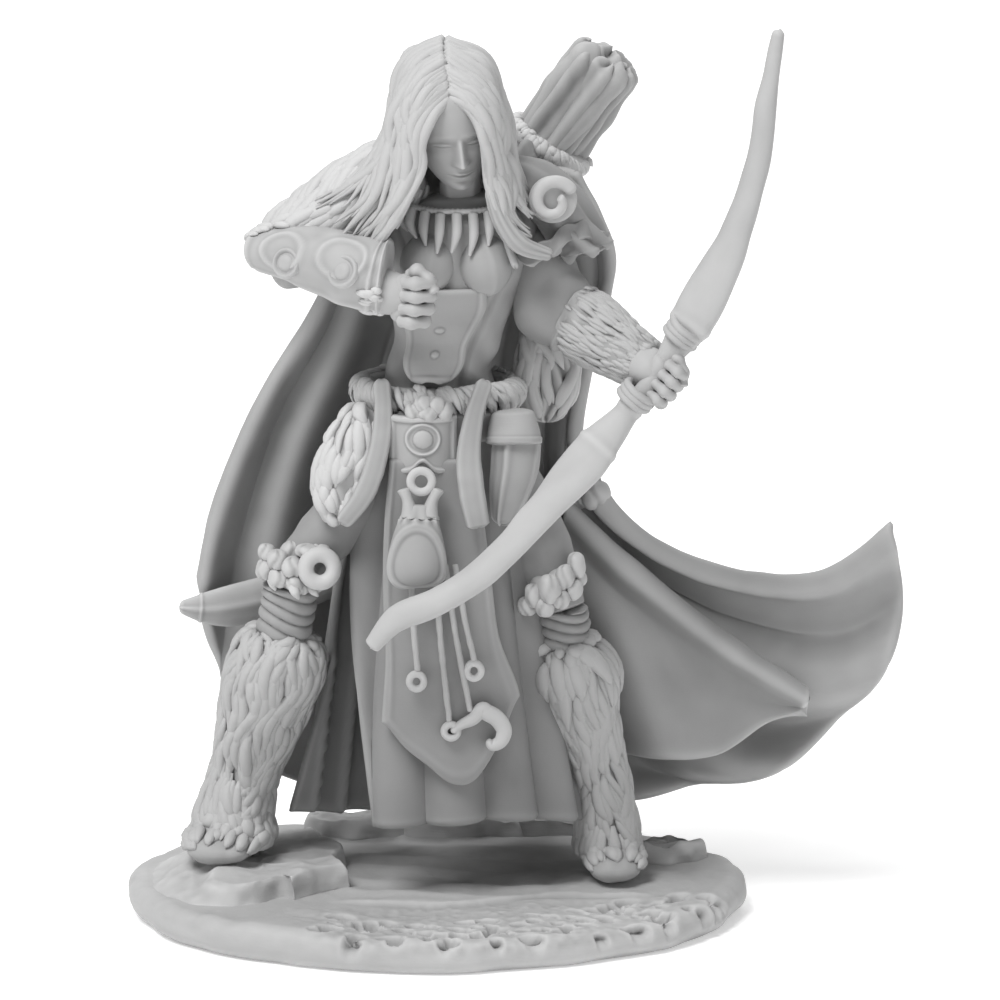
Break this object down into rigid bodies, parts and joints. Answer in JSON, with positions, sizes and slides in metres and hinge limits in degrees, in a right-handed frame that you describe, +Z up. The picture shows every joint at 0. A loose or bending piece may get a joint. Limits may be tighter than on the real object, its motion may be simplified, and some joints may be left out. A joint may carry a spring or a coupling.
{
  "type": "miniature figure",
  "caption": "Unpainted cast miniature of a cloaked archer in fur boots, holding a bow, on an oval rocky base that rests on its flat underside.",
  "frame": {"origin": "middle of the flat underside of the oval base", "axes": "+Z up, the figure faces -Y, +X towards the figure's left hand, which holds the bow"},
  "size_m": [0.031, 0.0206, 0.0361],
  "materials": {
    "cast_stone": "bare grey cast resin, matt, pitted like rough stone",
    "cast_fur": "bare grey cast resin, matt, moulded in tufts of fur",
    "cast_cloth": "bare grey cast resin, smooth and matt, moulded in soft folds",
    "cast_leather": "bare grey cast resin, matt with a faint sheen, finely grained",
    "cast_fittings": "bare grey cast resin, slightly paler where thin, faint satin sheen",
    "cast_skin": "bare grey cast resin, smooth, faint satin sheen",
    "cast_hair": "bare grey cast resin, matt, moulded in long strands"
  },
  "bodies": {
    "root": {"base": "cast_stone", "stone_slab": "cast_stone", "base_rocks": "cast_stone", "right_boot": "cast_fur", "left_boot": "cast_fur", "right_leg_wrap": "cast_cloth", "left_leg_wrap": "cast_cloth", "right_knee_tie": "cast_fur", "knee_ring": "cast_fittings", "left_knee_tie": "cast_fur", "right_thigh": "cast_cloth", "left_thigh": "cast_cloth", "skirt": "cast_cloth", "tabard": "cast_cloth", "tabard_thongs": "cast_leather", "thong_rings": "cast_fittings", "hook_charm": "cast_fittings", "belt": "cast_leather", "belt_fur": "cast_fur", "buckle_plate": "cast_fittings", "buckle_ring": "cast_fittings", "pouch": "cast_leather", "pouch_neck": "cast_leather", "right_hip_strap": "cast_leather", "left_hip_strap": "cast_leather", "hip_pelt": "cast_fur", "hip_bag": "cast_leather", "hip_bag_flap": "cast_leather", "scabbard": "cast_leather", "sword_hilt": "cast_fittings", "torso": "cast_leather", "bodice_panel": "cast_leather", "bust": "cast_leather", "claw_necklace": "cast_fittings", "head": "cast_skin", "hair": "cast_hair", "right_hair_lock": "cast_hair", "left_hair_lock": "cast_hair", "hair_tail": "cast_hair", "fur_mantle": "cast_fur", "shoulder_cape": "cast_cloth", "cape_clasp": "cast_fittings", "cloak": "cast_cloth", "cloak_pleat": "cast_cloth", "right_upper_arm": "cast_cloth", "right_vambrace": "cast_leather", "vambrace_bosses": "cast_fittings", "right_hand": "cast_skin", "left_sleeve": "cast_cloth", "left_bracer": "cast_fur", "left_hand": "cast_skin", "bow": "cast_fittings", "bow_grip": "cast_leather", "quiver": "cast_leather", "quiver_rim": "cast_fur", "arrows": "cast_fur", "quiver_strap": "cast_leather"}
  },
  "joints": []
}
